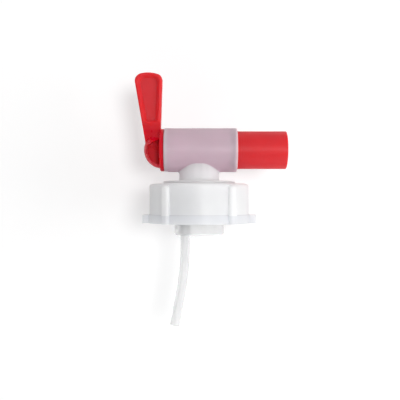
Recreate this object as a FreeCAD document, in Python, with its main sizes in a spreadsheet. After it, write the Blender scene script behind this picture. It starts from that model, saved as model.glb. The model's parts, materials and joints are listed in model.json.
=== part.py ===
import FreeCAD, Part
import Sketcher
import math
import os
import re

# Barrel tap for a jerrycan, in millimetres.
# The origin is the centre of the screw cap's lower rim. +Z runs up the cap's axis, and +X runs along
# the barrel to the spout. The lever stands up, which is the closed position, and turns back to +Y.
# The tap is moulded in three pieces: the cap, the natural body and the red plug with lever and spout.

# Driving sizes: alias, value, meaning.
SIZES = [
    ("neck_room", 11.2, "room for the container's neck, from the spigot to the thread root"),
    ("cap_height", 22.9, "cap's rim to its top face"),
    ("cap_wall", 3.5, "skirt, outside to thread root"),
    ("cap_plate", 3.2, "top plate outside the bead recess"),
    ("cap_round", 1.8, "rounding of the top edge"),
    ("mouth_chamfer", 0.7, "lead-in at the cap's mouth"),
    ("inner_round", 1.0, "rounding where skirt meets plate"),
    ("band_height", 4.7, "thicker band at the cap's foot"),
    ("band_step", 0.4, "how far the band stands out"),
    ("lug_reach", 4.05, "wrench lug beyond the cap body"),
    ("lug_width", 9.0, "wrench lug along the rim"),
    ("lug_height", 5.0, "wrench lug, foot to top"),
    ("lug_round", 1.2, "rounding of the lug's outer corners"),
    ("rib_width", 5.3, "grip rib across"),
    ("rib_proud", 2.2, "grip rib beyond the cap body"),
    ("rib_round", 1.7, "rounding of the rib's outer edges"),
    ("rib_top_gap", 0.9, "cap's top face to the rib's round end"),
    ("rib_angle", 38.6, "grip rib from the front and back centre lines"),

    ("swivel_gap", 0.1, "running gap of the spigot in the cap"),
    ("bead_gap", 0.3, "clearance round each snap bead"),
    ("recess_depth", 1.3, "seat for the snap bead under the plate"),

    ("cover_radius", 21.0, "disc that covers the cap's hole"),
    ("cover_thick", 1.5, "thickness of that disc"),
    ("stem_radius", 10.1, "stem's rounded sides, outside"),
    ("stem_spread", 1.55, "centres of those sides from the stem's axis"),
    ("stem_wall", 1.8, "stem's wall"),
    ("spigot_radius", 14.5, "spigot, outside"),
    ("spigot_wall", 1.8, "spigot's wall"),
    ("spigot_drop", 7.0, "spigot below the cap's lower rim"),
    ("spigot_chamfer", 0.9, "chamfer at the spigot's end"),
    ("bead_proud", 1.0, "spigot's snap bead beyond its wall"),
    ("bead_height", 1.1, "spigot's snap bead, top to foot"),
    ("stem_fillet", 1.4, "fillets at the stem's head and foot"),
    ("stem_clear", 5.45, "stem between the disc and the barrel"),

    ("barrel_radius", 12.9, "barrel, outside"),
    ("barrel_wall", 1.35, "barrel's wall"),
    ("barrel_left", 20.4, "stem's axis to the barrel's lever end"),
    ("barrel_right", 22.2, "stem's axis to the barrel's spout end"),
    ("barrel_round", 0.5, "rounding of the barrel's end edges"),
    ("barrel_mouth", 0.7, "chamfer of the bore at the spout end"),

    ("port_radius", 6.5, "liquid port"),
    ("port_offset", 2.8, "liquid port towards the spout"),
    ("vent_offset", 8.3, "vent duct towards the lever"),
    ("vent_radius", 1.6, "vent duct's bore"),
    ("duct_wall", 1.2, "wall round the vent duct and its socket"),
    ("socket_depth", 15.0, "socket for the vent tube"),
    ("socket_gap", 0.02, "vent tube's fit in its socket"),
    ("web_thick", 1.5, "web that ties the socket to the spigot"),

    ("plug_gap", 0.05, "running gap of the plug in the barrel"),
    ("end_gap", 0.15, "gap between flange and barrel"),
    ("plug_wall", 2.0, "wall of the plug and spout"),
    ("spout_reach", 28.9, "spout beyond the barrel"),
    ("spout_relief", 0.4, "how much smaller the spout is than the plug"),
    ("spout_start", 0.3, "plug's full size beyond the barrel"),
    ("spout_round", 0.5, "rounding of the spout's end"),
    ("flange_thick", 2.35, "disc between hub and barrel"),
    ("flange_inset", 0.4, "that disc's rim inside the barrel's outline"),
    ("flange_round", 0.8, "rounding of the disc's rim"),
    ("waist_length", 2.7, "relieved stretch beside the flange"),
    ("waist_depth", 0.8, "how deep that stretch is relieved"),
    ("head_wall", 2.2, "closed end of the plug, from the flange's inner face"),
    ("clip_inset", 2.6, "plug's snap bead from the barrel's spout end"),
    ("clip_half", 0.6, "half the length of that bead"),
    ("clip_proud", 0.35, "that bead beyond the plug"),
    ("groove_width", 3.2, "air groove along the plug"),
    ("groove_depth", 1.0, "air groove's depth"),
    ("groove_past", 2.2, "air groove beyond the vent duct's axis"),

    ("stop_depth", 2.0, "stop notch in the barrel's lever end"),
    ("stop_half_angle", 8.0, "half the angle of the stop lug"),
    ("stop_play", 1.5, "free angle at each end of the quarter turn"),
    ("stop_inset", 0.2, "stop lug inside the disc's outline"),

    ("hub_radius", 10.8, "round hub, outside"),
    ("hub_rim", 2.0, "rim left round the hub's pockets"),
    ("hub_web", 3.0, "web left between the hub's pockets"),
    ("pocket_top", 2.4, "top of those pockets above the axis, at the hub's outside"),
    ("pocket_rise", 3.8, "how much higher they are beside the flange"),
    ("pocket_round", 0.8, "rounding of the pockets' corners"),
    ("scoop_radius", 7.5, "hollow between hub and lever"),
    ("scoop_height", 12.35, "centre of that hollow above the axis"),
    ("neck_thick", 4.2, "lever at the bottom of the hollows"),

    ("lever_height", 45.4, "lever's top above the axis"),
    ("lever_thick", 7.0, "lever, front to back"),
    ("lever_inner", 22.95, "lever's inner edge from the stem's axis, at the barrel's axis"),
    ("lever_lean", 1.35, "how much nearer that edge is at the lever's top"),
    ("lever_foot", 7.85, "lever's width at the axis"),
    ("lever_head", 16.7, "lever's width at its top, before rounding"),
    ("head_crown", 18.0, "radius of the lever's crowned top"),
    ("head_round_out", 4.4, "rounding of the lever's outer top corner"),
    ("head_round_in", 3.4, "rounding of its inner top corner"),
    ("lever_round", 1.0, "rounding along the lever's edges"),
    ("panel_depth", 2.0, "sunken panel of the lever"),
    ("panel_bevel", 1.8, "bevel of the panel's sides"),
    ("panel_inner", 1.45, "rim beside the panel, inner edge"),
    ("panel_outer", 1.5, "rim beside the panel, outer edge"),
    ("panel_head", 1.4, "rim above the panel"),
    ("panel_foot", 15.7, "panel's lower end above the axis"),
    ("panel_head_round", 2.6, "rounding of the panel's upper corners"),
    ("panel_foot_round", 1.3, "rounding of its lower corners"),

    ("gasket_gap", 0.02, "gasket's fit on the spigot"),
    ("gasket_side", 1.5, "gasket's edge from the thread root"),
    ("gasket_thick", 2.0, "gasket's thickness"),
    ("gasket_seat", 0.1, "gap between gasket and plate"),

    ("tube_radius", 2.75, "vent tube, outside"),
    ("tube_wall", 0.95, "vent tube's wall"),
    ("tube_straight", 7.0, "straight stretch below the spigot"),
    ("tube_bend_radius", 143.0, "bend of the vent tube, on its axis"),
    ("tube_bend_angle", 10.5, "angle that the tube turns through"),
    ("tube_tail", 20.5, "straight stretch after the bend"),
]

QUARTER_TURN = 90.0
FULL_TURN = 360.0
SLACK = 0.02    # how near two places have to be to count as the same

# Heights and radii that several pieces share, as expressions of the driving sizes.
CAP_RADIUS = "(spigot_radius + neck_room + cap_wall)"
THREAD_ROOT = "(spigot_radius + neck_room)"
AXIS_HEIGHT = "(cap_height + swivel_gap + cover_thick + stem_clear + barrel_radius)"
HOLE_RADIUS = "(spigot_radius + swivel_gap)"
PLATE_UNDER = "(cap_height - cap_plate)"
RECESS_TOP = "(cap_height - cap_plate + recess_depth)"
RECESS_RADIUS = "(spigot_radius + bead_proud + bead_gap)"
COVER_FOOT = "(cap_height + swivel_gap)"
COVER_TOP = "(cap_height + swivel_gap + cover_thick)"
BORE_RADIUS = "(barrel_radius - barrel_wall)"
PLUG_RADIUS = "(barrel_radius - barrel_wall - plug_gap)"
PLUG_BORE = "(barrel_radius - barrel_wall - plug_gap - plug_wall)"
FLANGE_FACE = "(barrel_left + end_gap)"
FLANGE_BACK = "(barrel_left + end_gap + flange_thick)"
FLANGE_RADIUS = "(barrel_radius - flange_inset)"
HUB_CENTRE = "(barrel_left + end_gap + flange_thick / 2)"
WAIST_RADIUS = "(barrel_radius - barrel_wall - plug_gap - waist_depth)"
CLIP_PLACE = "(barrel_right - clip_inset)"
SOCKET_RADIUS = "(tube_radius + socket_gap)"
SOCKET_TOP = "(socket_depth - spigot_drop)"
LEVER_SHOULDER = "(lever_height - head_crown + sqrt(head_crown ^ 2 - lever_head ^ 2 / 4))"

os.makedirs("parts", exist_ok=True)
doc = FreeCAD.newDocument("barrel_tap")

sheet = doc.addObject("Spreadsheet::Sheet", "sizes")
for row, (alias, size, meaning) in enumerate(SIZES, start=1):
    sheet.set(f"A{row}", alias)
    sheet.set(f"B{row}", str(size))
    sheet.setAlias(f"B{row}", alias)
    sheet.set(f"C{row}", meaning)
doc.recompute()


def bound(text):
    """The expression with each alias read from the sheet."""
    return re.sub(r"[a-z]+(?:_[a-z]+)+", lambda word: "sizes." + word.group(0), text)


def value(text):
    """The expression's number at the sheet's present sizes."""
    result = sheet.evalExpression(text)
    return float(getattr(result, "Value", result))


def new_body(name, height=None):
    """A body of its own, lifted to a height where its frame isn't at the cap's rim."""
    body = doc.addObject("PartDesign::Body", name)
    body.Label = name
    if height:
        body.setExpression("Placement.Base.z", bound(height))
    return body


def plane_of(body, role):
    return next(item for item in body.Origin.OriginFeatures if item.Role == role)


def sketch_on(body, name, role, offset=None):
    """A sketch on one of the body's own planes, moved along the plane's normal by an offset."""
    sketch = body.newObject("Sketcher::SketchObject", name)
    sketch.AttachmentSupport = [(plane_of(body, role), "")]
    sketch.MapMode = "FlatFace"
    if offset:
        sketch.setExpression("AttachmentOffset.Base.z", bound(offset))
    return sketch


def constrain(sketch, text, *parts):
    """A constraint whose size follows an expression."""
    index = sketch.addConstraint(Sketcher.Constraint(*parts, value(text)))
    sketch.setExpression(f"Constraints[{index}]", bound(text))


def pin_x(sketch, geometry, end, text):
    """Ties a point to the sketch's upright axis."""
    if text == "0":
        sketch.addConstraint(Sketcher.Constraint("PointOnObject", geometry, end, -2))
    else:
        constrain(sketch, text, "DistanceX", -1, 1, geometry, end)


def pin_y(sketch, geometry, end, text):
    """Ties a point to the sketch's level axis."""
    if text == "0":
        sketch.addConstraint(Sketcher.Constraint("PointOnObject", geometry, end, -1))
    else:
        constrain(sketch, text, "DistanceY", -1, 1, geometry, end)


def pin_point(sketch, geometry, end, x, y):
    """Ties a point to the sketch's origin by two expressions."""
    pin_x(sketch, geometry, end, x)
    pin_y(sketch, geometry, end, y)


def draw_outline(sketch, corners, arcs=None):
    """A closed outline. corners are pairs of expressions. arcs gives, for the edge that starts at a
    corner's number, its centre and whether it runs anticlockwise."""
    arcs = arcs or {}
    points = [FreeCAD.Vector(value(x), value(y), 0) for x, y in corners]
    count = len(points)
    first = sketch.GeometryCount
    leaving, arriving = [], []
    for index in range(count):
        start, end = points[index], points[(index + 1) % count]
        if index not in arcs:
            sketch.addGeometry(Part.LineSegment(start, end))
            leaving.append(1)
            arriving.append(2)
            continue
        centre_x, centre_y, anticlockwise = arcs[index]
        centre = FreeCAD.Vector(value(centre_x), value(centre_y), 0)
        circle = Part.Circle(centre, FreeCAD.Vector(0, 0, 1), (start - centre).Length)
        ends = (start, end) if anticlockwise else (end, start)
        angles = [math.atan2(point.y - centre.y, point.x - centre.x) for point in ends]
        sketch.addGeometry(Part.ArcOfCircle(circle, angles[0], angles[1]))
        leaving.append(1 if anticlockwise else 2)
        arriving.append(2 if anticlockwise else 1)
    for index in range(count):
        following = (index + 1) % count
        sketch.addConstraint(Sketcher.Constraint(
            "Coincident", first + index, arriving[index], first + following, leaving[following]))
    for index, (x, y) in enumerate(corners):
        pin_point(sketch, first + index, leaving[index], x, y)
    for index, (centre_x, centre_y, anticlockwise) in arcs.items():
        chord = points[(index + 1) % count] - points[index]
        if abs(chord.x) > abs(chord.y):
            pin_y(sketch, first + index, 3, centre_y)
        else:
            pin_x(sketch, first + index, 3, centre_x)


def draw_circle(sketch, x, y, radius):
    """A full circle with its centre and radius given by expressions."""
    centre = FreeCAD.Vector(value(x), value(y), 0)
    index = sketch.addGeometry(Part.Circle(centre, FreeCAD.Vector(0, 0, 1), value(radius)))
    pin_point(sketch, index, 3, x, y)
    constrain(sketch, radius, "Radius", index)


def draw_stadium(sketch, spread, radius):
    """Two half circles, spread apart to both sides along the sketch's level axis."""
    draw_outline(sketch, [
        (f"-({spread})", f"-({radius})"),
        (spread, f"-({radius})"),
        (spread, radius),
        (f"-({spread})", radius),
    ], {1: (spread, "0", True), 3: (f"-({spread})", "0", True)})


def settle(feature):
    """Recomputes and stops if the feature has no sound shape."""
    doc.recompute()
    if "Invalid" in feature.State or feature.Shape.isNull() or not feature.Shape.isValid():
        raise RuntimeError(f"{feature.Name} failed: {feature.getStatusString()}")
    return feature


def turn(body, kind, name, sketch, axis):
    """A Revolution or Groove of a whole turn about one of the sketch's axes."""
    feature = body.newObject("PartDesign::" + kind, name)
    feature.Profile = sketch
    feature.ReferenceAxis = (sketch, [axis])
    feature.Angle = FULL_TURN
    return settle(feature)


def pad(body, name, sketch, length, reverse=False, middle=False):
    feature = body.newObject("PartDesign::Pad", name)
    feature.Profile = sketch
    feature.Reversed = reverse
    feature.SideType = "Symmetric" if middle else "One side"
    feature.setExpression("Length", bound(length))
    return settle(feature)


def pocket(body, name, sketch, length, reverse=False):
    """A pocket of a given depth, which has to take material away."""
    before = body.Tip.Shape.Volume
    feature = body.newObject("PartDesign::Pocket", name)
    feature.Profile = sketch
    feature.Reversed = reverse
    feature.setExpression("Length", bound(length))
    settle(feature)
    if feature.Shape.Volume >= before:
        raise RuntimeError(name + " cuts nothing")
    return feature


def mirror(body, name, originals, role):
    feature = body.newObject("PartDesign::Mirrored", name)
    feature.Originals = originals
    feature.MirrorPlane = (plane_of(body, role), [""])
    body.Tip = feature
    return settle(feature)


def opposite(body, name, original):
    """A second copy half a turn round the body's upright axis."""
    feature = body.newObject("PartDesign::PolarPattern", name)
    feature.Originals = [original]
    feature.Axis = (plane_of(body, "Z_Axis"), [""])
    feature.Angle = FULL_TURN
    feature.Occurrences = 2
    body.Tip = feature
    return settle(feature)


def edges_where(shape, test):
    """Names of the edges that pass a test on their middle point and their ends."""
    names = []
    for index, edge in enumerate(shape.Edges, start=1):
        middle = edge.valueAt((edge.FirstParameter + edge.LastParameter) / 2)
        if test(edge, middle):
            names.append(f"Edge{index}")
    return names


def round_edges(body, name, size, test, kind="Fillet"):
    """A Fillet or Chamfer on the edges that pass a test."""
    base = body.Tip
    names = edges_where(base.Shape, test)
    if not names:
        raise RuntimeError(name + " finds no edge")
    feature = body.newObject("PartDesign::" + kind, name)
    feature.Base = (base, names)
    feature.setExpression("Radius" if kind == "Fillet" else "Size", bound(size))
    return settle(feature)


def near(first, second):
    return abs(first - second) < SLACK


def circle_of(edge):
    """The edge's circle, or None for a curve of another kind, some of which have no type here."""
    try:
        curve = edge.Curve
    except TypeError:
        return None
    return curve if isinstance(curve, Part.Circle) else None


def is_upright(edge):
    start, end = edge.Vertexes[0].Point, edge.Vertexes[-1].Point
    return near(start.x, end.x) and near(start.y, end.y) and not near(start.z, end.z)


def is_ring(edge, radius, centre_x=None, centre_z=None):
    """A circular edge of a given radius, with its centre at a given x or z."""
    circle = circle_of(edge)
    if circle is None:
        return False
    fits_x = centre_x is None or near(circle.Center.x, centre_x)
    fits_z = centre_z is None or near(circle.Center.z, centre_z)
    return near(circle.Radius, radius) and fits_x and fits_z


# Screw cap

def make_screw_cap():
    """Skirt and plate in one turn, a thicker band at the foot, four grip ribs and two wrench lugs."""
    body = new_body("screw_cap")

    section = sketch_on(body, "cap_section", "XZ_Plane")
    draw_outline(section, [
        (HOLE_RADIUS, "cap_height"),
        (CAP_RADIUS, "cap_height"),
        (CAP_RADIUS, "band_height"),
        (f"{CAP_RADIUS} + band_step", "band_height"),
        (f"{CAP_RADIUS} + band_step", "0"),
        (f"{THREAD_ROOT} + mouth_chamfer", "0"),
        (THREAD_ROOT, "mouth_chamfer"),
        (THREAD_ROOT, PLATE_UNDER),
        (RECESS_RADIUS, PLATE_UNDER),
        (RECESS_RADIUS, RECESS_TOP),
        (HOLE_RADIUS, RECESS_TOP),
    ])
    turn(body, "Revolution", "cap_turn", section, "V_Axis")
    round_edges(body, "cap_top_round", "cap_round",
                lambda edge, middle: is_ring(edge, value(CAP_RADIUS), centre_z=value("cap_height")))
    round_edges(body, "cap_inner_round", "inner_round",
                lambda edge, middle: is_ring(edge, value(THREAD_ROOT), centre_z=value(PLATE_UNDER)))

    for name, sign in (("front", "-"), ("side", "")):
        rib = sketch_on(body, name + "_rib_face", "XZ_Plane")
        angle = sign + "rib_angle"
        start = f"({CAP_RADIUS} - cap_wall / 2)"
        rib.AttachmentOffset = FreeCAD.Placement(
            FreeCAD.Vector(), FreeCAD.Rotation(FreeCAD.Vector(0, 1, 0), value(angle)))
        rib.setExpression("AttachmentOffset.Rotation.Angle", bound(angle))
        rib.setExpression("AttachmentOffset.Base.x", bound(f"{start} * sin({angle} * 1deg)"))
        rib.setExpression("AttachmentOffset.Base.z", bound(f"{start} * cos({angle} * 1deg)"))
        shoulder = "(cap_height - rib_top_gap - rib_width / 2)"
        draw_outline(rib, [
            ("-rib_width / 2", "0"),
            ("rib_width / 2", "0"),
            ("rib_width / 2", shoulder),
            ("-rib_width / 2", shoulder),
        ], {2: ("0", shoulder, True)})
        bar = pad(body, name + "_rib", rib, "cap_wall / 2 + rib_proud")
        opposite(body, name + "_rib_pair", bar)
    across, ahead = (value(f"{way}(rib_angle * 1deg)") for way in ("sin", "cos"))
    face = value(f"{CAP_RADIUS} + rib_proud")
    round_edges(body, "rib_rounds", "rib_round",
                lambda edge, middle: near(abs(middle.x) * across + abs(middle.y) * ahead, face)
                and middle.z > SLACK)

    plan = sketch_on(body, "lug_plan", "XY_Plane")
    draw_outline(plan, [
        (f"{CAP_RADIUS} - cap_wall / 2", "-lug_width / 2"),
        (f"{CAP_RADIUS} + lug_reach", "-lug_width / 2"),
        (f"{CAP_RADIUS} + lug_reach", "lug_width / 2"),
        (f"{CAP_RADIUS} - cap_wall / 2", "lug_width / 2"),
    ])
    lug = pad(body, "lug", plan, "lug_height")
    opposite(body, "lug_pair", lug)
    tip = value(f"{CAP_RADIUS} + lug_reach")
    round_edges(body, "lug_corners", "lug_round",
                lambda edge, middle: near(abs(middle.x), tip) and near(abs(middle.y), value("lug_width / 2")))
    return body


# Tap body

def make_tap_body():
    """Barrel, stem, cover disc and spigot in one moulding. Its own frame is where the barrel's axis
    crosses the stem's, and every height below is counted from there."""
    body = new_body("tap_body", AXIS_HEIGHT)
    foot = f"(-spigot_drop - {AXIS_HEIGHT})"
    cover_foot = f"({COVER_FOOT} - {AXIS_HEIGHT})"
    cover_top = f"({COVER_TOP} - {AXIS_HEIGHT})"
    bead_top = f"({RECESS_TOP} - swivel_gap - {AXIS_HEIGHT})"
    bead_root = "(spigot_radius + bead_proud)"

    disc = sketch_on(body, "disc_section", "XZ_Plane")
    draw_outline(disc, [
        ("0", cover_top),
        ("cover_radius", cover_top),
        ("cover_radius", cover_foot),
        ("spigot_radius", cover_foot),
        ("spigot_radius", bead_top),
        (bead_root, bead_top),
        (bead_root, f"{bead_top} - bead_height / 2"),
        ("spigot_radius", f"{bead_top} - bead_height"),
        ("spigot_radius", f"{foot} + spigot_chamfer"),
        ("spigot_radius - spigot_chamfer", foot),
        ("0", foot),
    ])
    turn(body, "Revolution", "disc_turn", disc, "V_Axis")
    stem = sketch_on(body, "stem_plan", "XY_Plane", cover_top)
    draw_stadium(stem, "stem_spread", "stem_radius")
    pad(body, "stem", stem, f"-{cover_top}")

    hollow = sketch_on(body, "hollow_section", "XZ_Plane")
    draw_outline(hollow, [
        ("0", cover_foot),
        ("spigot_radius - spigot_wall", cover_foot),
        ("spigot_radius - spigot_wall", foot),
        ("0", foot),
    ])
    turn(body, "Groove", "hollow_turn", hollow, "V_Axis")
    throat = sketch_on(body, "throat_plan", "XY_Plane", cover_foot)
    draw_stadium(throat, "stem_spread", "stem_radius - stem_wall")
    pocket(body, "throat", throat, f"-{cover_foot}", reverse=True)

    sleeve = sketch_on(body, "socket_plan", "XY_Plane", foot)
    draw_circle(sleeve, "-vent_offset", "0", f"{SOCKET_RADIUS} + duct_wall")
    pad(body, "socket_sleeve", sleeve, "socket_depth + duct_wall")

    web = sketch_on(body, "web_plan", "XY_Plane", foot)
    draw_outline(web, [
        ("spigot_wall / 2 - spigot_radius", "-web_thick / 2"),
        ("-vent_offset", "-web_thick / 2"),
        ("-vent_offset", "web_thick / 2"),
        ("spigot_wall / 2 - spigot_radius", "web_thick / 2"),
    ])
    pad(body, "socket_web", web, f"{cover_foot} - {foot}")

    duct = sketch_on(body, "duct_plan", "XY_Plane", foot)
    draw_circle(duct, "-vent_offset", "0", "vent_radius + duct_wall")
    pad(body, "duct_sleeve", duct, f"-{foot}")

    barrel = sketch_on(body, "barrel_section", "XZ_Plane")
    draw_outline(barrel, [
        ("-barrel_left", "0"),
        ("barrel_right", "0"),
        ("barrel_right", "barrel_radius"),
        ("-barrel_left", "barrel_radius"),
    ])
    turn(body, "Revolution", "barrel_turn", barrel, "H_Axis")

    bore = sketch_on(body, "bore_section", "XZ_Plane")
    clip_radius = f"({PLUG_RADIUS} + clip_proud + bead_gap)"
    draw_outline(bore, [
        ("-barrel_left", "0"),
        ("barrel_right", "0"),
        ("barrel_right", f"{BORE_RADIUS} + barrel_mouth"),
        ("barrel_right - barrel_mouth", BORE_RADIUS),
        (f"{CLIP_PLACE} + clip_half + bead_gap", BORE_RADIUS),
        (f"{CLIP_PLACE} + clip_half + bead_gap", clip_radius),
        (f"{CLIP_PLACE} - clip_half - bead_gap", clip_radius),
        (f"{CLIP_PLACE} - clip_half - bead_gap", BORE_RADIUS),
        ("-barrel_left", BORE_RADIUS),
    ])
    turn(body, "Groove", "bore_turn", bore, "H_Axis")

    port = sketch_on(body, "liquid_port_plan", "XY_Plane")
    draw_circle(port, "port_offset", "0", "port_radius")
    pocket(body, "liquid_port", port, "barrel_radius + stem_fillet")
    vent = sketch_on(body, "vent_port_plan", "XY_Plane")
    draw_circle(vent, "-vent_offset", "0", "vent_radius")
    pocket(body, "vent_port", vent, f"-{foot}")
    socket = sketch_on(body, "socket_bore_plan", "XY_Plane", foot)
    draw_circle(socket, "-vent_offset", "0", SOCKET_RADIUS)
    pocket(body, "socket_bore", socket, "socket_depth", reverse=True)

    notch = sketch_on(body, "notch_plan", "YZ_Plane", "-barrel_left")
    early = "(stop_half_angle + stop_play)"
    late = f"({QUARTER_TURN} + stop_half_angle + stop_play)"
    outer = "(barrel_radius + bead_gap)"
    draw_outline(notch, [
        ("0", "0"),
        (f"{outer} * cos({early} * 1deg)", f"{outer} * sin({early} * 1deg)"),
        (f"{outer} * cos({late} * 1deg)", f"-{outer} * sin({late} * 1deg)"),
    ], {1: ("0", "0", False)})
    pocket(body, "stop_notch", notch, "stop_depth", reverse=True)

    ends = (value("-barrel_left"), value("barrel_right"))
    round_edges(body, "barrel_ends", "barrel_round",
                lambda edge, middle: any(is_ring(edge, value("barrel_radius"), centre_x=end) for end in ends))
    stem_top = value("-sqrt(barrel_radius ^ 2 - stem_radius ^ 2)")

    def on_stem(middle):
        return near(math.hypot(max(abs(middle.x) - value("stem_spread"), 0), middle.y), value("stem_radius"))

    round_edges(body, "stem_head", "stem_fillet",
                lambda edge, middle: on_stem(middle) and not is_upright(edge)
                and value("-barrel_radius") - SLACK < middle.z < stem_top + SLACK)
    round_edges(body, "stem_foot", "stem_fillet",
                lambda edge, middle: on_stem(middle) and near(middle.z, value(cover_top)))
    round_edges(body, "cover_edge", "cover_thick / 3",
                lambda edge, middle: is_ring(edge, value("cover_radius"), centre_z=value(cover_top)))
    return body


# Lever plug

def inner_edge(height):
    """How far the lever's inner edge lies from the stem's axis at a height."""
    return f"(lever_inner - lever_lean * {height} / {LEVER_SHOULDER})"


def outer_edge(height):
    """How far its outer edge lies from there."""
    return f"({inner_edge(height)} + lever_foot + (lever_head - lever_foot) * {height} / {LEVER_SHOULDER})"


def make_lever_plug():
    """Lever, hub, flange, plug and spout in one red moulding, in the frame of the barrel's axis."""
    body = new_body("lever_plug", AXIS_HEIGHT)

    paddle = sketch_on(body, "lever_outline", "XZ_Plane")
    inner_top = "(lever_lean - lever_inner)"
    draw_outline(paddle, [
        ("-lever_inner", "0"),
        (inner_top, LEVER_SHOULDER),
        (f"{inner_top} - lever_head", LEVER_SHOULDER),
        ("-lever_inner - lever_foot", "0"),
    ], {1: (f"{inner_top} - lever_head / 2", "lever_height - head_crown", True)})
    pad(body, "lever", paddle, "lever_thick", middle=True)
    top = value(LEVER_SHOULDER)
    for name, size, place in (("outer_head_corner", "head_round_out", f"{inner_top} - lever_head"),
                              ("inner_head_corner", "head_round_in", inner_top)):
        x = value(place)
        round_edges(body, name, size, lambda edge, middle: near(middle.x, x) and near(middle.z, top))
    half = value("lever_thick / 2")
    round_edges(body, "lever_edges", "lever_round",
                lambda edge, middle: near(abs(middle.y), half) and middle.z > half)

    panel = sketch_on(body, "panel_outline", "XZ_Plane", "lever_thick / 2")
    panel_top = "(lever_height - panel_head - panel_bevel)"
    panel_bottom = "(panel_foot + panel_bevel)"
    draw_outline(panel, [
        (f"-{inner_edge(panel_bottom)} - panel_inner - panel_bevel", panel_bottom),
        (f"-{inner_edge(panel_top)} - panel_inner - panel_bevel", panel_top),
        (f"panel_outer + panel_bevel - {outer_edge(panel_top)}", panel_top),
        (f"panel_outer + panel_bevel - {outer_edge(panel_bottom)}", panel_bottom),
    ])
    panel_cut = pocket(body, "panel", panel, "panel_depth")
    mirror(body, "panel_pair", [panel_cut], "XZ_Plane")
    low, high = value(panel_bottom), value(panel_top)
    wall_middle = value("lever_thick / 2 - panel_depth / 2")
    for name, size, place in (("upper_panel_corners", "panel_head_round", high),
                              ("lower_panel_corners", "panel_foot_round", low)):
        round_edges(body, name, size,
                    lambda edge, middle: near(abs(middle.y), wall_middle) and near(middle.z, place))
    round_edges(body, "panel_bevels", "panel_bevel",
                lambda edge, middle: near(abs(middle.y), half) and low - SLACK < middle.z < high + SLACK
                and value("panel_outer") < value(outer_edge(middle.z)) + middle.x
                and value("panel_inner") < -middle.x - value(inner_edge(middle.z)), kind="Chamfer")

    dome = sketch_on(body, "hub_section", "XZ_Plane")
    draw_outline(dome, [
        (f"-{HUB_CENTRE} - hub_radius", "0"),
        (f"-{HUB_CENTRE}", "0"),
        (f"-{HUB_CENTRE}", "hub_radius"),
    ], {2: (f"-{HUB_CENTRE}", "0", True)})
    turn(body, "Revolution", "hub", dome, "H_Axis")

    scoop = sketch_on(body, "scoop_plan", "YZ_Plane", f"-{FLANGE_BACK}")
    draw_circle(scoop, "-neck_thick / 2 - scoop_radius", "scoop_height", "scoop_radius")
    scoop_cut = pocket(body, "scoop", scoop, "hub_radius")
    mirror(body, "scoop_pair", [scoop_cut], "XZ_Plane")

    well = sketch_on(body, "hub_pocket_outline", "XZ_Plane", "hub_web / 2")
    reach = "(hub_radius - hub_rim)"
    well_corner = f"(-{HUB_CENTRE} - sqrt({reach} ^ 2 - pocket_top ^ 2))"
    draw_outline(well, [
        (f"-{FLANGE_BACK}", "pocket_top + pocket_rise"),
        (well_corner, "pocket_top"),
        (f"-{FLANGE_BACK}", f"-sqrt({reach} ^ 2 - (flange_thick / 2) ^ 2)"),
    ], {1: (f"-{HUB_CENTRE}", "0", True)})
    well_cut = pocket(body, "hub_pocket", well, "hub_radius", reverse=True)
    mirror(body, "hub_pocket_pair", [well_cut], "XZ_Plane")
    outer_corner = value(well_corner)
    well_top = value("pocket_top")
    round_edges(body, "hub_pocket_corners", "pocket_round",
                lambda edge, middle: near(middle.x, outer_corner) and near(middle.z, well_top)
                and abs(middle.y) > value("hub_web / 2"))

    plug = sketch_on(body, "plug_section", "XZ_Plane")
    spout_end = "(barrel_right + spout_reach)"
    spout_step = "(barrel_right + spout_start)"
    clip_radius = f"({PLUG_RADIUS} + clip_proud)"
    draw_outline(plug, [
        (f"-{FLANGE_BACK}", "0"),
        (spout_end, "0"),
        (spout_end, f"{PLUG_RADIUS} - spout_relief"),
        (spout_step, f"{PLUG_RADIUS} - spout_relief"),
        (spout_step, PLUG_RADIUS),
        (f"{CLIP_PLACE} + clip_half", PLUG_RADIUS),
        (CLIP_PLACE, clip_radius),
        (f"{CLIP_PLACE} - clip_half", clip_radius),
        (f"{CLIP_PLACE} - clip_half", PLUG_RADIUS),
        (f"waist_length + waist_depth - {FLANGE_FACE}", PLUG_RADIUS),
        (f"waist_length - {FLANGE_FACE}", WAIST_RADIUS),
        (f"-{FLANGE_FACE}", WAIST_RADIUS),
        (f"-{FLANGE_FACE}", FLANGE_RADIUS),
        (f"flange_round - {FLANGE_BACK}", FLANGE_RADIUS),
        (f"-{FLANGE_BACK}", f"{FLANGE_RADIUS} - flange_round"),
    ], {13: (f"flange_round - {FLANGE_BACK}", f"{FLANGE_RADIUS} - flange_round", True)})
    turn(body, "Revolution", "plug_turn", plug, "H_Axis")

    bore = sketch_on(body, "plug_bore_section", "XZ_Plane")
    draw_outline(bore, [
        (f"head_wall - {FLANGE_FACE}", "0"),
        (spout_end, "0"),
        (spout_end, PLUG_BORE),
        (f"head_wall - {FLANGE_FACE}", PLUG_BORE),
    ])
    turn(body, "Groove", "plug_bore", bore, "H_Axis")

    # With the lever up the window faces back, and a quarter turn brings it down over the liquid port.
    window = sketch_on(body, "window_outline", "XZ_Plane")
    draw_circle(window, "port_offset", "0", "port_radius")
    pocket(body, "window", window, "barrel_radius")

    groove = sketch_on(body, "air_groove_outline", "XZ_Plane", f"groove_depth - {PLUG_RADIUS}")
    draw_outline(groove, [
        (f"-{FLANGE_FACE}", "-groove_width / 2"),
        ("groove_past - vent_offset", "-groove_width / 2"),
        ("groove_past - vent_offset", "groove_width / 2"),
        (f"-{FLANGE_FACE}", "groove_width / 2"),
    ])
    pocket(body, "air_groove", groove, "groove_depth + end_gap")

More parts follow.
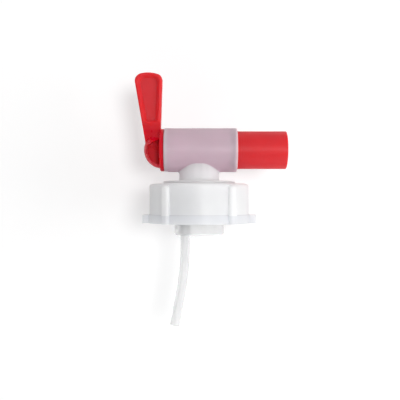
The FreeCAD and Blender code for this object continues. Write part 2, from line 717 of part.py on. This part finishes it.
    lug = sketch_on(body, "stop_lug_plan", "YZ_Plane", f"-{FLANGE_FACE}")
    lug_out = f"({FLANGE_RADIUS} - stop_inset)"
    lug_in = f"(({PLUG_BORE} + {WAIST_RADIUS}) / 2)"
    draw_outline(lug, [
        (f"{lug_in} * cos(stop_half_angle * 1deg)", f"-{lug_in} * sin(stop_half_angle * 1deg)"),
        (f"{lug_out} * cos(stop_half_angle * 1deg)", f"-{lug_out} * sin(stop_half_angle * 1deg)"),
        (f"{lug_out} * cos(stop_half_angle * 1deg)", f"{lug_out} * sin(stop_half_angle * 1deg)"),
        (f"{lug_in} * cos(stop_half_angle * 1deg)", f"{lug_in} * sin(stop_half_angle * 1deg)"),
    ], {1: ("0", "0", True)})
    pad(body, "stop_lug", lug, "stop_depth - bead_gap + end_gap")

    end = value(spout_end)
    round_edges(body, "spout_rim", "spout_round", lambda edge, middle: near(middle.x, end))
    return body


# Neck gasket

def make_neck_gasket():
    """Flat ring stretched over the spigot, between the cap's plate and the container's neck."""
    body = new_body("neck_gasket")
    section = sketch_on(body, "gasket_section", "XZ_Plane")
    top = f"({PLATE_UNDER} - gasket_seat)"
    inner = "(spigot_radius + gasket_gap)"
    outer = f"({THREAD_ROOT} - gasket_side)"
    draw_outline(section, [
        (inner, f"{top} - gasket_thick"),
        (outer, f"{top} - gasket_thick"),
        (outer, top),
        (inner, top),
    ])
    turn(body, "Revolution", "gasket_turn", section, "V_Axis")
    return body


# Vent tube

def make_vent_tube():
    """Straight tube pushed into its socket, with one long bend away from the spout."""
    body = new_body("vent_tube")
    x = "-vent_offset"
    bend_start = "(-spigot_drop - tube_straight)"
    spine = sketch_on(body, "tube_route", "XZ_Plane")
    top = FreeCAD.Vector(value(x), value(SOCKET_TOP), 0)
    start = FreeCAD.Vector(value(x), value(bend_start), 0)
    radius = value("tube_bend_radius")
    angle = math.radians(value("tube_bend_angle"))
    tail = value("tube_tail")
    centre = start - FreeCAD.Vector(radius, 0, 0)
    corner = centre + FreeCAD.Vector(radius * math.cos(angle), -radius * math.sin(angle), 0)
    end = corner - FreeCAD.Vector(tail * math.sin(angle), tail * math.cos(angle), 0)
    spine.addGeometry(Part.LineSegment(top, start))
    spine.addGeometry(Part.ArcOfCircle(Part.Circle(centre, FreeCAD.Vector(0, 0, 1), radius), -angle, 0.0))
    spine.addGeometry(Part.LineSegment(corner, end))
    spine.addConstraint(Sketcher.Constraint("Tangent", 0, 2, 1, 2))
    spine.addConstraint(Sketcher.Constraint("Tangent", 1, 1, 2, 1))
    pin_point(spine, 0, 1, x, SOCKET_TOP)
    spine.addConstraint(Sketcher.Constraint("Vertical", 0))
    constrain(spine, f"{SOCKET_TOP} - {bend_start}", "Distance", 0)
    constrain(spine, "tube_bend_radius", "Radius", 1)
    constrain(spine, "tube_tail", "Distance", 2)
    constrain(spine, "tube_tail * sin(tube_bend_angle * 1deg)", "DistanceX", 2, 2, 2, 1)

    section = sketch_on(body, "tube_section", "XY_Plane", SOCKET_TOP)
    draw_circle(section, x, "0", "tube_radius")
    draw_circle(section, x, "0", "tube_radius - tube_wall")
    pipe = body.newObject("PartDesign::AdditivePipe", "tube")
    pipe.Profile = section
    pipe.Spine = (spine, ["Edge1", "Edge2", "Edge3"])
    settle(pipe)

    length = value(f"{SOCKET_TOP} - {bend_start} + tube_tail") + radius * angle
    area = math.pi * (value("tube_radius") ** 2 - value("tube_radius - tube_wall") ** 2)
    print("vent tube volume", round(pipe.Shape.Volume, 1), "section times length", round(area * length, 1))
    return body


bodies = [
    make_screw_cap(),
    make_tap_body(),
    make_lever_plug(),
    make_neck_gasket(),
    make_vent_tube(),
]
doc.recompute()

for item in doc.Objects:
    if "Invalid" in item.State or "Error" in item.State:
        raise RuntimeError(f"{item.Name} is {item.State}")
for body in bodies:
    shape = body.Shape
    if shape.isNull() or not shape.isValid() or len(shape.Solids) != 1:
        raise RuntimeError(body.Label + " is not one valid solid")
for body in bodies:
    body.Shape.exportStep(f"parts/{body.Label}.step")
    box = body.Shape.BoundBox
    print(body.Label, "volume", round(body.Shape.Volume), "x", round(box.XMin, 1), round(box.XMax, 1),
          "y", round(box.YMin, 1), round(box.YMax, 1), "z", round(box.ZMin, 1), round(box.ZMax, 1))
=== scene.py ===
import json
import math

import bmesh
import bpy
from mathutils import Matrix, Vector

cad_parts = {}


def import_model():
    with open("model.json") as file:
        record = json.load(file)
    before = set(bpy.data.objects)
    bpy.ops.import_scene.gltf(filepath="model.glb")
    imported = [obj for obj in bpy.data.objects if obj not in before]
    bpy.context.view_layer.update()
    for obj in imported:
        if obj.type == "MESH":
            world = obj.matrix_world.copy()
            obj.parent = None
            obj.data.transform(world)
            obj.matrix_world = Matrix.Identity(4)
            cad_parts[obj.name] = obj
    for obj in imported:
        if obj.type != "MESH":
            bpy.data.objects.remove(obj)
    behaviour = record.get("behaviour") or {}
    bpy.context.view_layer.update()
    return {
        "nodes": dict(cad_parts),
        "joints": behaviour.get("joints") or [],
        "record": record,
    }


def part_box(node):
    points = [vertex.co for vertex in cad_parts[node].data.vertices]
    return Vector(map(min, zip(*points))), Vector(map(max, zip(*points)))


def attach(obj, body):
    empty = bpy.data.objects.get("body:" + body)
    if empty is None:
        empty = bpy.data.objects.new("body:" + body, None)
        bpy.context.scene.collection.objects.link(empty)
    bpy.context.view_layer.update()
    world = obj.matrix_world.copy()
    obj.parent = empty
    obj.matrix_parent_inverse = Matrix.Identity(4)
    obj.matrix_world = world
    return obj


# Looks of the jerrycan tap: natural polyethylene cap, body and vent tube, and a red plug with its
# lever and spout. Lengths are in metres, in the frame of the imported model.

MM = 0.001
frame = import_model()

# Places read from the frame
nodes = frame["nodes"]
cap_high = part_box("screw_cap")[1]
body_low, body_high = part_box("tap_body")
plug_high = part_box("lever_plug")[1]
joints = {joint["name"]: joint for joint in frame["joints"]}
mounts = {mount["name"]: mount for mount in frame["record"]["mounts"]}
AXIS_Z = joints["lever_turn"]["pos_m"][2]

# The barrel's outside and its two ends, and how much of the plug's red shows at each end
BARREL_RADIUS = body_high[2] - AXIS_Z
BARREL_LEVER_END = -20.4 * MM
BARREL_SPOUT_END = body_high[0]
SHOWN_AT_LEVER = 0.75
SHOWN_AT_SPOUT = 0.8

# The heights between which the stem's painted shade, from the barrel above it, grows
STEM_SHADE_FOOT = AXIS_Z - 17.0 * MM
STEM_SHADE_TOP = AXIS_Z - 8.0 * MM

# The lever's sunken panels: their floors from the middle plane, and their lower end
PANEL_FLOOR = 1.5 * MM
PANEL_FOOT = AXIS_Z + 15.7 * MM

# How far the cap's thicker band stands out, its top, and the cap's side above it
BAND_STEP = 0.4 * MM
BAND_TOP = 4.7 * MM
CAP_RADIUS = cap_high[1] - BAND_STEP

# The spigot's foot and outside, and the height at which its wall lets no more light through
SPIGOT_FOOT = body_low[2]
SPIGOT_RADIUS = 14.5 * MM
SPIGOT_ROOT = 12.0 * MM

# The cap's thread: a ridge on the wall, whose feet are sunk into the wall
THREAD_ROOT = mounts["neck_thread"]["dims"]["r_mm"] * MM
THREAD_HEIGHT = 1.3 * MM
THREAD_SUNK = 0.4 * MM
THREAD_FOOT_HALF = 1.3 * MM
THREAD_CREST_HALF = 0.45 * MM
THREAD_PITCH = 6.0 * MM
THREAD_TURNS = 2.0
THREAD_START = 3.2 * MM
THREAD_RUNOUT = 0.08
THREAD_STEPS_A_TURN = 72

# How much each skin of thin natural plastic covers what lies behind it
SPIGOT_COVER = 0.32
SPIGOT_INSIDE = 0.07
TUBE_COVER = 0.31

# Optics of polyethylene, and how deeply each piece scatters light
POLYETHYLENE_IOR = 1.51
CAP_DEPTH = 8.0 * MM
BODY_DEPTH = 5.0 * MM
TUBE_DEPTH = 5.0 * MM
THREAD_DEPTH = 0.3 * MM
RED_DEPTH = 3.5 * MM

# Roughness of the skins: the natural plastics from gloss to gloss plus spread, and the red's parts
NATURAL_GLOSS = 0.36
TUBE_GLOSS = 0.34
GLOSS_SPREAD = 0.12
POLISHED_GLOSS = (0.24, 0.34)
SATIN_GLOSS = 0.46
PANEL_GLOSS = 0.58
RED_SPECULAR = 0.25

# Share of the satin skin on the slopes and sides of the lever's head
SLOPE_SATIN = 0.9

# Wear from handling, as the strength of the scuffs
NATURAL_WEAR = 0.35
TUBE_WEAR = 0.08
RED_WEAR = 0.22

# Height of the grain and waves in the surface, which grow with the wear on natural plastic
GRAIN_AT_FULL_WEAR = 0.016 * MM
WAVES_AT_FULL_WEAR = 0.08 * MM
RED_GRAIN = 0.003 * MM
RED_WAVES = 0.015 * MM

# Most of what the noise gives lies in this range
NOISE_LOW = 0.3
NOISE_HIGH = 0.7

# Camera: the photograph looks straight down on the tap, which lies on its side, so here the camera
# looks along +Y.
CAMERA_DISTANCE = 0.350
CAMERA_X = 0.0005
CAMERA_Z = 0.0135
CAMERA_CLIP = 0.01
FRAME_PIXELS = 400
PIXEL_AT_TAP = 0.59 * MM
SENSOR = 36.0

# The table behind the tap, just clear of the lever when it is swung open
TABLE_CLEAR = 1.0 * MM
TABLE_Y = plug_high[2] - AXIS_Z + TABLE_CLEAR
TABLE_HALF = 1.5
TABLE_GLOW = 0.253

# The point that the lamps aim at
MIDDLE = (0.0, 0.0, 0.015)

# Light from all round, and from behind the camera, where it is weaker. One fades into the other
# between two slants, which are given as the Y part of the direction.
ROUND_LEVEL = 0.57
ROUND_SLANT = -0.80
FRONT_LEVEL = 0.20
FRONT_SLANT = -0.98


def srgb(red, green, blue):
    """Linear colour of the given 8-bit display values."""
    def linear(level):
        level /= 255
        return level / 12.92 if level <= 0.04045 else ((level + 0.055) / 1.055) ** 2.4
    return (linear(red), linear(green), linear(blue), 1.0)


# Colours, as single tones or as the two ends between which a surface varies
WHITE = (1.0, 1.0, 1.0, 1.0)
PAPER = (0.85, 0.85, 0.85, 1.0)
CAP_TONES = (srgb(238, 239, 243), srgb(244, 245, 248))
BODY_TONES = (srgb(242, 243, 246), srgb(248, 249, 251))
TUBE_TONES = (srgb(243, 245, 248), srgb(248, 250, 252))
SCUFFED_NATURAL = srgb(232, 233, 236)
BAND_TONE = srgb(226, 228, 233)
# Painted shade for the crease where the cap's band meets its side
CREASE_PAINTED_SHADE = srgb(216, 217, 222)
STAIN_TONES = (srgb(218, 186, 200), srgb(225, 189, 204))
# The stem's grey is painted shade from the barrel above it
STEM_PAINTED_SHADE = srgb(222, 215, 218)
# The red's polished tones, and the paler, pinker satin and panel tones, whose paleness is painted sheen
POLISHED_TONES = ((0.66, 0.001, 0.014, 1.0), (0.72, 0.002, 0.020, 1.0))
SATIN_TONES_WITH_PAINTED_SHEEN = ((0.70, 0.024, 0.032, 1.0), (0.76, 0.030, 0.040, 1.0))
PANEL_TONE_WITH_PAINTED_SHEEN = (0.69, 0.034, 0.046, 1.0)
SCUFFED_RED = srgb(226, 80, 84)
FOAM_TONES_WITH_PIT_SHADE = (srgb(214, 213, 207), srgb(228, 227, 222))


# Node helpers

def new_material(name):
    material = bpy.data.materials.new(name)
    material.use_nodes = True
    material.node_tree.nodes.clear()
    return material


def node(tree, kind, inputs=None, **settings):
    """Adds a node, sets its properties, and its inputs by name or number from values or sockets."""
    made = tree.nodes.new(kind)
    for key, setting in settings.items():
        setattr(made, key, setting)
    for key, given in (inputs or {}).items():
        feed(tree, made.inputs[key], given)
    return made


def feed(tree, socket, given):
    """Links a socket to another one, or sets it to a value."""
    if isinstance(given, bpy.types.NodeSocket):
        tree.links.new(given, socket)
    else:
        socket.default_value = given


def finish_shader(material, shader):
    node(material.node_tree, "ShaderNodeOutputMaterial", {"Surface": shader.outputs[0]})
    return material


def place(tree):
    """The point on the piece in its own resting frame, in metres."""
    return node(tree, "ShaderNodeTexCoord").outputs["Object"]


def split(tree, vector):
    """The X, Y and Z of a vector, by name."""
    return node(tree, "ShaderNodeSeparateXYZ", {0: vector}).outputs


def combine(tree, operation, first, second):
    return node(tree, "ShaderNodeMath", {0: first, 1: second}, operation=operation).outputs[0]


def product(tree, first, second):
    return combine(tree, "MULTIPLY", first, second)


def larger(tree, first, second):
    return combine(tree, "MAXIMUM", first, second)


def size_of(tree, source):
    """The source without its sign."""
    return node(tree, "ShaderNodeMath", {0: source}, operation="ABSOLUTE").outputs[0]


def length_of(tree, first, second):
    """Distance from an axis, from the two coordinates across it."""
    squares = [combine(tree, "POWER", source, 2.0) for source in (first, second)]
    return combine(tree, "POWER", combine(tree, "ADD", *squares), 0.5)


def spread(tree, source, low, high, out_low, out_high):
    """Maps a source from one range to another, held at the ends."""
    return node(tree, "ShaderNodeMapRange", {
        "Value": source, "From Min": low, "From Max": high, "To Min": out_low, "To Max": out_high},
    ).outputs[0]


def rising(tree, source, low, high):
    """0 below a range, 1 above it."""
    return spread(tree, source, low, high, 0.0, 1.0)


def falling(tree, source, low, high):
    """1 below a range, 0 above it."""
    return spread(tree, source, low, high, 1.0, 0.0)


def blend_colour(tree, factor, first, second):
    made = node(tree, "ShaderNodeMix", data_type="RGBA", blend_type="MIX")
    for number, given in ((0, factor), (6, first), (7, second)):
        feed(tree, made.inputs[number], given)
    return made.outputs[2]


def noise(tree, cells, detail, roughness=0.5, stretch=(1.0, 1.0, 1.0)):
    """Soft noise, with its scale in cells a metre."""
    mapped = node(tree, "ShaderNodeMapping", {"Vector": place(tree), "Scale": stretch})
    made = node(tree, "ShaderNodeTexNoise", {
        "Vector": mapped.outputs[0], "Scale": cells, "Detail": detail, "Roughness": roughness})
    return made.outputs["Fac"]


def uneven(tree, cells, low, high):
    """A value that wanders between two levels over the surface."""
    return spread(tree, noise(tree, cells, detail=3.0), NOISE_LOW, NOISE_HIGH, low, high)


def moulded_surface(tree, grain, waves):
    """Normal of a moulded surface: fine grain from the tool and shallow waves from shrinkage."""
    fine = node(tree, "ShaderNodeBump", {
        "Height": noise(tree, cells=2600, detail=2.0), "Strength": 1.0, "Distance": grain})
    return node(tree, "ShaderNodeBump", {
        "Height": noise(tree, cells=150, detail=1.0), "Strength": 1.0, "Distance": waves,
        "Normal": fine.outputs[0]}).outputs[0]


def scuffs(tree, amount):
    """Sparse short scratches from handling, as a factor from 0 to the given amount."""
    lines = noise(tree, cells=420, detail=4.0, roughness=0.65, stretch=(1.0, 1.0, 6.0))
    patches = noise(tree, cells=90, detail=2.0)
    line = spread(tree, lines, 0.60, 0.70, 0.0, amount)
    patch = rising(tree, patches, 0.48, 0.62)
    return product(tree, line, patch)


# Natural polyethylene

def natural_plastic(name, tones, gloss, depth, tint=None, thin=None, wear=NATURAL_WEAR):
    """Undyed polyethylene: milky, a little uneven, with a satin skin and faint scuffs. tint takes the
    tree and the colour, and returns the colour as changed by what shows through the wall, by a band's
    tone and by painted shade. thin takes the tree, and returns how much of what lies behind each skin
    of a thin wall it covers."""
    material = new_material(name)
    tree = material.node_tree
    colour = blend_colour(tree, uneven(tree, cells=60, low=0.0, high=1.0), *tones)
    if tint:
        colour = tint(tree, colour)
    colour = blend_colour(tree, scuffs(tree, wear), colour, SCUFFED_NATURAL)
    shader = node(tree, "ShaderNodeBsdfPrincipled", {
        "Base Color": colour,
        "Roughness": uneven(tree, cells=220, low=gloss, high=gloss + GLOSS_SPREAD),
        "IOR": POLYETHYLENE_IOR,
        "Subsurface Weight": 1.0,
        "Subsurface Scale": depth,
        "Subsurface Radius": (1.0, 1.0, 1.0),
        "Alpha": thin(tree) if thin else 1.0,
        "Normal": moulded_surface(tree, GRAIN_AT_FULL_WEAR * wear, WAVES_AT_FULL_WEAR * wear)})
    return finish_shader(material, shader)


def thin_spigot(tree):
    """The spigot's wall lets light through, less and less towards its thicker root in the cap. What
    lies inside it covers less than its outer skin does."""
    parts = split(tree, place(tree))
    radius = length_of(tree, parts["X"], parts["Y"])
    skin = spread(tree, radius, SPIGOT_RADIUS - 1.2 * MM, SPIGOT_RADIUS - 0.4 * MM, SPIGOT_INSIDE,
                  SPIGOT_COVER)
    return spread(tree, parts["Z"], 0.0, SPIGOT_ROOT, skin, 1.0)


def thin_tube(tree):
    """The tube's wall lets light through below the spigot, and none where its socket holds it."""
    height = split(tree, place(tree))["Z"]
    return spread(tree, height, SPIGOT_FOOT, SPIGOT_FOOT + 1.0 * MM, TUBE_COVER, 1.0)


def shaded_band(tree, colour):
    """The cap's thicker band is a little greyer, with a thin painted shade line where it meets the side.
    """
    parts = split(tree, place(tree))
    height = parts["Z"]
    radius = length_of(tree, parts["X"], parts["Y"])
    above = rising(tree, height, BAND_TOP - 0.05 * MM, BAND_TOP + 0.1 * MM)
    below = falling(tree, height, BAND_TOP + 0.2 * MM, BAND_TOP + 0.7 * MM)
    on_side = falling(tree, radius, CAP_RADIUS + 0.3 * MM, CAP_RADIUS + 0.5 * MM)
    # The line is painted shade in the crease above the band's step
    line = product(tree, product(tree, above, below), on_side)
    on_band = falling(tree, height, BAND_TOP - 0.1 * MM, BAND_TOP + 0.1 * MM)
    colour = blend_colour(tree, on_band, colour, BAND_TONE)
    return blend_colour(tree, line, colour, CREASE_PAINTED_SHADE)


def red_behind_barrel_and_stem_shade(tree, colour):
    """Where the plug lies close behind the barrel's wall, its red shows through as a dull pink. It is
    paler over the plug's relieved stretch at the lever end and at the barrel's open mouth. The top of
    the stem, under the barrel, is painted greyer as shade from the barrel, with a trace of the red."""
    parts = split(tree, place(tree))
    radius = length_of(tree, parts["Y"], combine(tree, "SUBTRACT", parts["Z"], AXIS_Z))
    wall = (BARREL_RADIUS + 0.1 * MM, BARREL_RADIUS + 0.5 * MM)
    near_lever = spread(tree, parts["X"], BARREL_LEVER_END + 1.0 * MM, BARREL_LEVER_END + 2.6 * MM,
                        SHOWN_AT_LEVER, 1.0)
    near_spout = spread(tree, parts["X"], BARREL_SPOUT_END - 2.0 * MM, BARREL_SPOUT_END - 0.6 * MM,
                        1.0, SHOWN_AT_SPOUT)
    shown = product(tree, falling(tree, radius, *wall), product(tree, near_lever, near_spout))
    patches = rising(tree, noise(tree, cells=70, detail=2.0, stretch=(1.0, 1.0, 0.6)), 0.35, 0.65)
    colour = blend_colour(tree, shown, colour, blend_colour(tree, patches, *STAIN_TONES))
    # Painted shade: the stem's top is greyer where the barrel above shades it
    stem_shade_rise = rising(tree, parts["Z"], STEM_SHADE_FOOT, STEM_SHADE_TOP)
    painted_stem_shade = product(tree, rising(tree, radius, *wall), stem_shade_rise)
    return blend_colour(tree, painted_stem_shade, colour, STEM_PAINTED_SHADE)


# Red polyethylene

def on_flat(tree):
    """1 on faces that look to the front or the back, and 0 on slopes and sides."""
    facing = split(tree, node(tree, "ShaderNodeTexCoord").outputs["Normal"])
    return rising(tree, size_of(tree, facing["Y"]), 0.85, 0.95)


def on_satin_with_sheen(tree):
    """How satin the skin is: 1 on the flat faces of the lever's head and on the spout, less on the
    head's slopes and sides, and 0 on the polished rest. The same share places the paler tones that
    are painted sheen."""
    parts = split(tree, place(tree))
    head = rising(tree, parts["Z"], PANEL_FOOT - 4.0 * MM, PANEL_FOOT + 1.0 * MM)
    spout = rising(tree, parts["X"], BARREL_SPOUT_END - 1.0 * MM, BARREL_SPOUT_END)
    slopes = spread(tree, on_flat(tree), 0.0, 1.0, SLOPE_SATIN, 1.0)
    return larger(tree, product(tree, head, slopes), spout)


def on_panel_floor(tree):
    """1 on the sunk floors of the lever's two panels, and 0 on the rest of the plug."""
    parts = split(tree, place(tree))
    sunk = falling(tree, size_of(tree, parts["Y"]), PANEL_FLOOR + 0.1 * MM, PANEL_FLOOR + 0.3 * MM)
    above = rising(tree, parts["Z"], PANEL_FOOT, PANEL_FOOT + 0.5 * MM)
    return product(tree, product(tree, sunk, above), on_flat(tree))


def red_plastic():
    """Red polyethylene moulding: polished round the hub, satin on the lever's head and the spout, and
    with a matt texture on the lever's panel floors. The satin and panel tones are paler and pinker
    than the polished ones, and this paleness is painted sheen."""
    material = new_material("red_moulding")
    tree = material.node_tree
    cloud = uneven(tree, cells=75, low=0.0, high=1.0)
    polished = blend_colour(tree, cloud, *POLISHED_TONES)
    satin = blend_colour(tree, cloud, *SATIN_TONES_WITH_PAINTED_SHEEN)
    satin_and_painted_sheen = on_satin_with_sheen(tree)
    panel = on_panel_floor(tree)
    # Painted sheen: the satin skin and the panel floors get the paler, pinker tones
    colour = blend_colour(tree, satin_and_painted_sheen, polished, satin)
    colour = blend_colour(tree, panel, colour, PANEL_TONE_WITH_PAINTED_SHEEN)
    colour = blend_colour(tree, scuffs(tree, RED_WEAR), colour, SCUFFED_RED)
    shine = uneven(tree, 260, *POLISHED_GLOSS)
    shine = spread(tree, satin_and_painted_sheen, 0.0, 1.0, shine, SATIN_GLOSS)
    shine = spread(tree, panel, 0.0, 1.0, shine, PANEL_GLOSS)
    shader = node(tree, "ShaderNodeBsdfPrincipled", {
        "Base Color": colour,
        "Roughness": shine,
        "IOR": POLYETHYLENE_IOR,
        "Specular IOR Level": RED_SPECULAR,
        "Subsurface Weight": 1.0,
        "Subsurface Scale": RED_DEPTH,
        "Subsurface Radius": (1.0, 0.10, 0.10),
        "Normal": moulded_surface(tree, RED_GRAIN, RED_WAVES)})
    return finish_shader(material, shader)


# Gasket

def foam():
    """Closed-cell foam of the gasket, painted darker in the pits of its cells as shade."""
    material = new_material("gasket_foam")
    tree = material.node_tree
    cells = node(tree, "ShaderNodeTexVoronoi", {"Vector": place(tree), "Scale": 2200.0})
    # How deep each cell's pit is: it sets the bump, and a painted shade that darkens the pits
    depth = rising(tree, cells.outputs["Distance"], 0.0, 0.7)
    bump = node(tree, "ShaderNodeBump", {"Height": depth, "Strength": 0.8, "Distance": 0.05 * MM})
    shader = node(tree, "ShaderNodeBsdfPrincipled", {
        "Base Color": blend_colour(tree, depth, *FOAM_TONES_WITH_PIT_SHADE),
        "Roughness": 0.85,
        "Normal": bump.outputs[0]})
    return finish_shader(material, shader)


# Materials of the five nodes

THREAD = natural_plastic("natural_thread", CAP_TONES, NATURAL_GLOSS, THREAD_DEPTH)
MATERIALS = {
    "screw_cap": natural_plastic("natural_cap", CAP_TONES, NATURAL_GLOSS, CAP_DEPTH, tint=shaded_band),
    "tap_body": natural_plastic("natural_body", BODY_TONES, NATURAL_GLOSS, BODY_DEPTH,
                                tint=red_behind_barrel_and_stem_shade, thin=thin_spigot),
    "lever_plug": red_plastic(),
    "neck_gasket": foam(),
    "vent_tube": natural_plastic("natural_tube", TUBE_TONES, TUBE_GLOSS, TUBE_DEPTH, thin=thin_tube,
                                 wear=TUBE_WEAR),
}

for node_name, material in MATERIALS.items():
    slots = nodes[node_name].data.materials
    slots.clear()
    slots.append(material)


# The cap's thread

def mesh_object(name, mesh_data, material):
    """A flat-shaded object from mesh data, which it frees."""
    made = bpy.data.meshes.new(name)
    mesh_data.to_mesh(made)
    mesh_data.free()
    made.materials.append(material)
    piece = bpy.data.objects.new(name, made)
    bpy.context.scene.collection.objects.link(piece)
    return piece


def thread_section(rise):
    """Radius and height of the ridge's corners. Its crest stands out by the given share, and at 0 the
    whole ridge is sunk into the wall."""
    back = THREAD_ROOT + THREAD_SUNK
    foot = THREAD_ROOT + THREAD_SUNK / 2
    crest = foot - (THREAD_HEIGHT + THREAD_SUNK / 2) * rise
    upper = ((crest, THREAD_CREST_HALF), (foot, THREAD_FOOT_HALF), (back, THREAD_FOOT_HALF))
    lower = [(radius, -lift) for radius, lift in reversed(upper)]
    return (*lower, *upper)


def cap_thread():
    """Coarse right-hand thread ridge inside the skirt, which runs out to nothing at both ends."""
    steps = round(THREAD_STEPS_A_TURN * THREAD_TURNS)
    mesh = bmesh.new()
    rings = []
    for step in range(steps + 1):
        share = step / steps
        rise = min(1.0, share / THREAD_RUNOUT, (1.0 - share) / THREAD_RUNOUT)
        turns = step / THREAD_STEPS_A_TURN
        angle = 2 * math.pi * turns
        height = THREAD_START + THREAD_PITCH * turns
        rings.append([mesh.verts.new((radius * math.cos(angle), radius * math.sin(angle), height + lift))
                      for radius, lift in thread_section(rise)])
    for ring, following in zip(rings, rings[1:]):
        for index in range(len(ring)):
            after = (index + 1) % len(ring)
            mesh.faces.new((ring[index], ring[after], following[after], following[index]))
    mesh.faces.new(rings[0])
    mesh.faces.new(reversed(rings[-1]))
    bmesh.ops.recalc_face_normals(mesh, faces=mesh.faces)
    piece = mesh_object("cap_thread", mesh, THREAD)
    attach(piece, "cap")


# Table, lamps, world and camera

def table_surface():
    """White table: pure white to the camera where nothing shades it, and unseen from its back."""
    material = new_material("table_white")
    tree = material.node_tree
    paper = node(tree, "ShaderNodeBsdfDiffuse", {"Color": PAPER})
    glow = node(tree, "ShaderNodeEmission", {"Color": WHITE, "Strength": TABLE_GLOW})
    lit = node(tree, "ShaderNodeAddShader", {0: paper.outputs[0], 1: glow.outputs[0]})
    path = node(tree, "ShaderNodeLightPath")
    direct = larger(tree, path.outputs["Is Camera Ray"], path.outputs["Is Transmission Ray"])
    seen = node(tree, "ShaderNodeMixShader", {0: direct, 1: paper.outputs[0], 2: lit.outputs[0]})
    clear = node(tree, "ShaderNodeBsdfTransparent", {"Color": WHITE})
    geometry = node(tree, "ShaderNodeNewGeometry")
    shader = node(tree, "ShaderNodeMixShader", {
        0: geometry.outputs["Backfacing"], 1: seen.outputs[0], 2: clear.outputs[0]})
    return finish_shader(material, shader)


def table():
    mesh = bmesh.new()
    corners = ((-TABLE_HALF, -TABLE_HALF), (TABLE_HALF, -TABLE_HALF), (TABLE_HALF, TABLE_HALF),
               (-TABLE_HALF, TABLE_HALF))
    mesh.faces.new([mesh.verts.new((x, TABLE_Y, z)) for x, z in corners])
    piece = mesh_object("table", mesh, table_surface())


def lamp(name, location, size, power):
    """A round lamp of the given width, which aims at the middle of the tap."""
    data = bpy.data.lights.new(name, "AREA")
    data.shape = "DISK"
    data.size = size
    data.energy = power
    made = bpy.data.objects.new(name, data)
    made.location = location
    made.rotation_euler = (Vector(MIDDLE) - Vector(location)).to_track_quat("-Z", "Y").to_euler()
    bpy.context.scene.collection.objects.link(made)


def world():
    """Soft light from all round, weaker from behind the camera, and white behind everything."""
    made = bpy.data.worlds.new("studio")
    made.use_nodes = True
    tree = made.node_tree
    tree.nodes.clear()
    along = split(tree, node(tree, "ShaderNodeTexCoord").outputs["Generated"])["Y"]
    level = spread(tree, along, FRONT_SLANT, ROUND_SLANT, FRONT_LEVEL, ROUND_LEVEL)
    soft = node(tree, "ShaderNodeBackground", {"Color": WHITE, "Strength": level})
    white = node(tree, "ShaderNodeBackground", {"Color": WHITE, "Strength": 1.0})
    path = node(tree, "ShaderNodeLightPath")
    shown = node(tree, "ShaderNodeMixShader", {
        0: path.outputs["Is Camera Ray"], 1: soft.outputs[0], 2: white.outputs[0]})
    node(tree, "ShaderNodeOutputWorld", {"Surface": shown.outputs[0]})
    bpy.context.scene.world = made


def camera():
    data = bpy.data.cameras.new("camera")
    data.sensor_width = SENSOR
    data.lens = SENSOR * CAMERA_DISTANCE / (FRAME_PIXELS * PIXEL_AT_TAP)
    data.clip_start = CAMERA_CLIP
    made = bpy.data.objects.new("camera", data)
    made.location = (CAMERA_X, -CAMERA_DISTANCE, CAMERA_Z)
    made.rotation_euler = (math.pi / 2, 0.0, 0.0)
    bpy.context.scene.collection.objects.link(made)
    bpy.context.scene.camera = made


cap_thread()
table()
lamp("key", location=(0.46, -1.68, 0.10), size=0.52, power=10.2)
lamp("side", location=(1.64, -0.76, -0.10), size=1.2, power=8.8)
lamp("low", location=(0.30, -0.75, -1.50), size=1.2, power=2.6)
world()
camera()
bpy.context.scene.view_settings.view_transform = "Standard"
